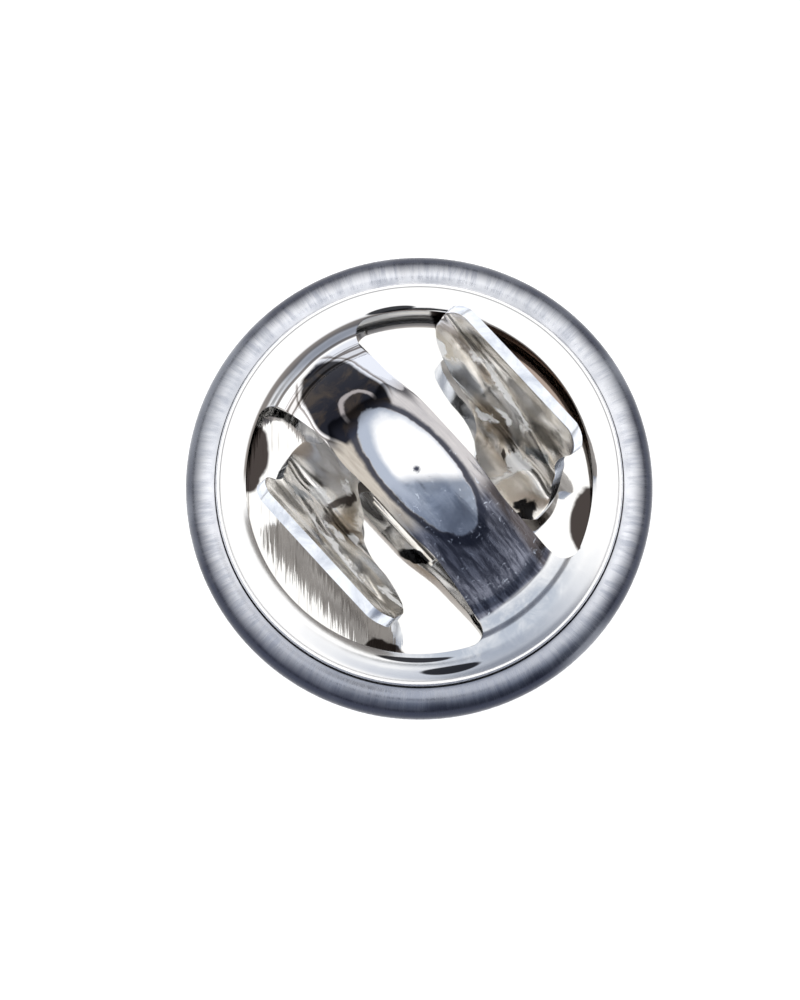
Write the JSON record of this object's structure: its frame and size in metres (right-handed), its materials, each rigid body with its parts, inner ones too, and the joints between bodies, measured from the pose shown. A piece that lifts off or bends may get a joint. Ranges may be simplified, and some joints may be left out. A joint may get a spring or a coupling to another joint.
{
  "type": "tie tack",
  "caption": "Tie tack: round plain head with a pointed post, held by a sprung butterfly clutch with two squeeze wings that slides on the post.",
  "frame": {"origin": "Centre of the head's flat front face, on the surface it stands on, under the post's axis.", "axes": "+Z along the post from the head to its point; +X along the clutch's bridge; the two wings stand on its +Y and -Y sides."},
  "size_m": [0.0116, 0.0116, 0.0112],
  "materials": {
    "head": "polished",
    "post": "satin",
    "clutch_base": "radially brushed nickel plate",
    "clutch_cap": "polished nickel plate",
    "spring": "polished, slightly tarnished nickel plate"
  },
  "bodies": {
    "tack": {"tack_head": "head", "post_pad": "post", "tack_post": "post"},
    "clutch": {"clutch_base": "clutch_base", "clutch_cap": "clutch_cap", "spring_plate": "spring"},
    "wing_plus_y": {"wing_arm_plus_y": "spring"},
    "wing_minus_y": {"wing_arm_minus_y": "spring"}
  },
  "joints": [
    {"name": "clutch_slide", "type": "slide", "parent": "tack", "child": "clutch", "axis": [0, 0, 1], "range_m": [0, 0.0033]},
    {"name": "wing_plus_y_squeeze", "type": "hinge", "parent": "clutch", "child": "wing_plus_y", "pos_m": [0, -0.0007, 0.0072], "axis": [1, 0, 0], "range_deg": [0, 10], "stiffness_Nm_per_rad": 0.15},
    {"name": "wing_minus_y_squeeze", "type": "hinge", "parent": "clutch", "child": "wing_minus_y", "pos_m": [0, 0.0007, 0.0072], "axis": [-1, 0, 0], "range_deg": [0, 10], "stiffness_Nm_per_rad": 0.15}
  ]
}
